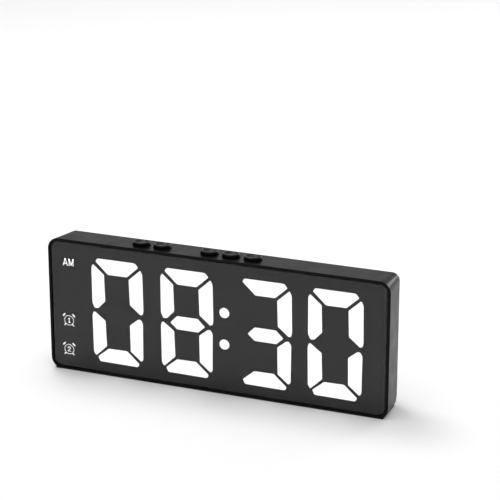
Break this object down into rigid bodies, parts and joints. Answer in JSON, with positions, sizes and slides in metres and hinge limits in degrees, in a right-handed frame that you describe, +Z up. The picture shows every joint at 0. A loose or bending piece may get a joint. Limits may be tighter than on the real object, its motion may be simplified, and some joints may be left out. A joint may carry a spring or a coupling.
{
  "type": "alarm clock",
  "caption": "Wide black desk alarm clock with a large white segment display behind a smoked lens, top push buttons, and a battery block with a sliding door behind.",
  "frame": {"origin": "centre of the footprint, on the table the clock stands on", "axes": "+X along the clock's width, to the right for a reader of the display; the display faces -Y; +Z up"},
  "size_m": [0.161, 0.0262, 0.0639],
  "materials": {
    "case_plastic": "fine satin black moulding",
    "lens_smoked": "polished smoked acrylic",
    "mask_black": "matt black film",
    "diffuser_white": "milky white light guide, lit from behind",
    "reflector_white": "white moulding",
    "board_green": "solder-masked board",
    "steel": "bright steel",
    "chip_black": "moulded black plastic",
    "nickel": "nickel plate",
    "plunger_white": "white nylon",
    "button_plastic": "black, smooth",
    "cell_jacket": "printed jacket, left plain",
    "pad_rubber": "matt black rubber",
    "lead_red": "red insulation",
    "lead_black": "black insulation"
  },
  "bodies": {
    "clock": {"housing": "case_plastic", "rear_cover": "case_plastic", "front_lens": "lens_smoked", "display_mask": "mask_black", "digit_diffuser_1": "diffuser_white", "digit_diffuser_2": "diffuser_white", "digit_diffuser_3": "diffuser_white", "digit_diffuser_4": "diffuser_white", "colon_diffuser": "diffuser_white", "status_diffuser": "diffuser_white", "light_box": "reflector_white", "main_board": "board_green", "board_screw_1": "steel", "board_screw_2": "steel", "board_screw_3": "steel", "board_screw_4": "steel", "microphone": "steel", "controller_chip": "chip_black", "display_driver_chip": "chip_black", "buzzer": "chip_black", "coin_cell_holder": "chip_black", "dc_jack": "chip_black", "tact_switch_1": "chip_black", "tact_switch_2": "chip_black", "tact_switch_3": "chip_black", "tact_switch_4": "chip_black", "tact_switch_5": "chip_black", "crystal": "nickel", "coin_cell": "nickel", "contact_plate_negative": "nickel", "contact_plate_positive": "nickel", "contact_bridge": "nickel", "contact_spring_1": "nickel", "contact_spring_2": "nickel", "battery_1": "cell_jacket", "battery_2": "cell_jacket", "base_pad": "pad_rubber", "lead_battery_positive": "lead_red", "lead_jack_positive": "lead_red", "lead_battery_negative": "lead_black", "lead_jack_negative": "lead_black"},
    "button_1": {"button_1": "button_plastic", "switch_plunger_1": "plunger_white"},
    "button_2": {"button_2": "button_plastic", "switch_plunger_2": "plunger_white"},
    "button_3": {"button_3": "button_plastic", "switch_plunger_3": "plunger_white"},
    "button_4": {"button_4": "button_plastic", "switch_plunger_4": "plunger_white"},
    "button_5": {"button_5": "button_plastic", "switch_plunger_5": "plunger_white"},
    "battery_door": {"battery_door": "case_plastic"}
  },
  "joints": [
    {"name": "button_1_press", "type": "slide", "parent": "clock", "child": "button_1", "axis": [0, 0, -1], "range_m": [0, 0.0003], "stiffness_N_per_m": 800, "springref_m": -0.0005},
    {"name": "button_2_press", "type": "slide", "parent": "clock", "child": "button_2", "axis": [0, 0, -1], "range_m": [0, 0.0003], "stiffness_N_per_m": 800, "springref_m": -0.0005},
    {"name": "button_3_press", "type": "slide", "parent": "clock", "child": "button_3", "axis": [0, 0, -1], "range_m": [0, 0.0003], "stiffness_N_per_m": 800, "springref_m": -0.0005},
    {"name": "button_4_press", "type": "slide", "parent": "clock", "child": "button_4", "axis": [0, 0, -1], "range_m": [0, 0.0003], "stiffness_N_per_m": 800, "springref_m": -0.0005},
    {"name": "button_5_press", "type": "slide", "parent": "clock", "child": "button_5", "axis": [0, 0, -1], "range_m": [0, 0.0003], "stiffness_N_per_m": 800, "springref_m": -0.0005},
    {"name": "battery_door_slide", "type": "slide", "parent": "clock", "child": "battery_door", "axis": [1, 0, 0], "range_m": [0, 0.006]}
  ]
}
